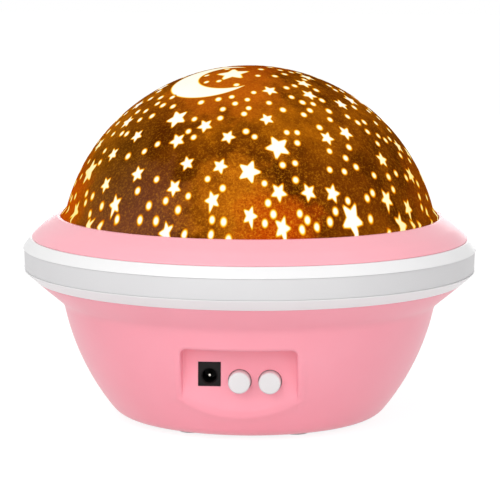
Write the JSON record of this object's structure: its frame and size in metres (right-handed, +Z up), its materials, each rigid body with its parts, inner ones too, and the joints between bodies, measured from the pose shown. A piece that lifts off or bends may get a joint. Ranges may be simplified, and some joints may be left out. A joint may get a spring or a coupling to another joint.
{
  "type": "star night light projector",
  "caption": "Saucer-shaped night light: pink bowl and collar, white rim and a motor-turned star-film dome, with a recess for push buttons and a power socket.",
  "frame": {"origin": "centre of the plan outline on the surface that the feet stand on", "axes": "+Z up along the dome's axis, -Y towards the control recess, +X to the right seen from the front"},
  "size_m": [0.1504, 0.1504, 0.117],
  "materials": {
    "pink_shell": "moulded, soft gloss",
    "white_rim": "moulded, soft gloss",
    "satin_band": "satin",
    "foot_rubber": "matte",
    "zinc_steel": "zinc plated",
    "cell_jacket": "printed film jacket, plain",
    "spring_nickel": "nickel plated",
    "board_laminate": "solder mask",
    "black_plastic": "moulded",
    "pin_nickel": "nickel plated",
    "button_plastic": "moulded, soft gloss",
    "table_plastic": "moulded",
    "gear_plastic": "moulded acetal",
    "can_steel": "drawn and zinc plated",
    "led_laminate": "white solder mask",
    "led_white": "clear epoxy, lit warm white",
    "led_red": "clear epoxy",
    "led_green": "clear epoxy",
    "led_blue": "clear epoxy",
    "film_dome": "printed translucent film, lit from inside"
  },
  "bodies": {
    "base": {"lower_bowl": "pink_shell", "upper_collar": "pink_shell", "white_rim": "white_rim", "rim_band": "satin_band", "rubber_feet": "foot_rubber", "housing_screws": "zinc_steel", "battery_cells": "cell_jacket", "battery_springs": "spring_nickel", "battery_contacts": "spring_nickel", "main_board": "board_laminate", "board_screws": "zinc_steel", "dc_socket": "black_plastic", "dc_pin": "pin_nickel", "light_switch": "black_plastic", "rotation_switch": "black_plastic", "motor_gearbox": "gear_plastic", "motor_can": "can_steel", "motor_screws": "zinc_steel", "lamp_cap": "table_plastic", "led_board": "led_laminate", "led_white": "led_white", "led_red": "led_red", "led_green": "led_green", "led_blue": "led_blue", "led_screws": "zinc_steel"},
    "turntable": {"turntable": "table_plastic"},
    "dome": {"film_dome": "film_dome"},
    "pinion": {"motor_pinion": "gear_plastic"},
    "light_button": {"light_button": "button_plastic"},
    "rotation_button": {"rotation_button": "button_plastic"},
    "battery_door": {"battery_door": "pink_shell"}
  },
  "joints": [
    {"name": "table_spin", "type": "hinge", "parent": "base", "child": "turntable", "pos_m": [0, 0, 0.0611], "axis": [0, 0, 1], "continuous": true},
    {"name": "dome_lift", "type": "slide", "parent": "turntable", "child": "dome", "axis": [0, 0, 1], "range_m": [0, 0.06]},
    {"name": "pinion_spin", "type": "hinge", "parent": "base", "child": "pinion", "pos_m": [-0.0375, 0, 0.059], "axis": [0, 0, 1], "continuous": true},
    {"name": "light_press", "type": "slide", "parent": "base", "child": "light_button", "axis": [0, 1, 0], "range_m": [0, 0.0018], "stiffness_N_per_m": 600, "springref_m": -0.001},
    {"name": "rotation_press", "type": "slide", "parent": "base", "child": "rotation_button", "axis": [0, 1, 0], "range_m": [0, 0.0018], "stiffness_N_per_m": 600, "springref_m": -0.001},
    {"name": "door_swing", "type": "hinge", "parent": "base", "child": "battery_door", "pos_m": [0, 0.02175, 0.001], "axis": [1, 0, 0], "range_deg": [0, 45]}
  ],
  "couplings": [
    {"joint": "pinion_spin", "follows": "table_spin", "ratio": 6}
  ]
}
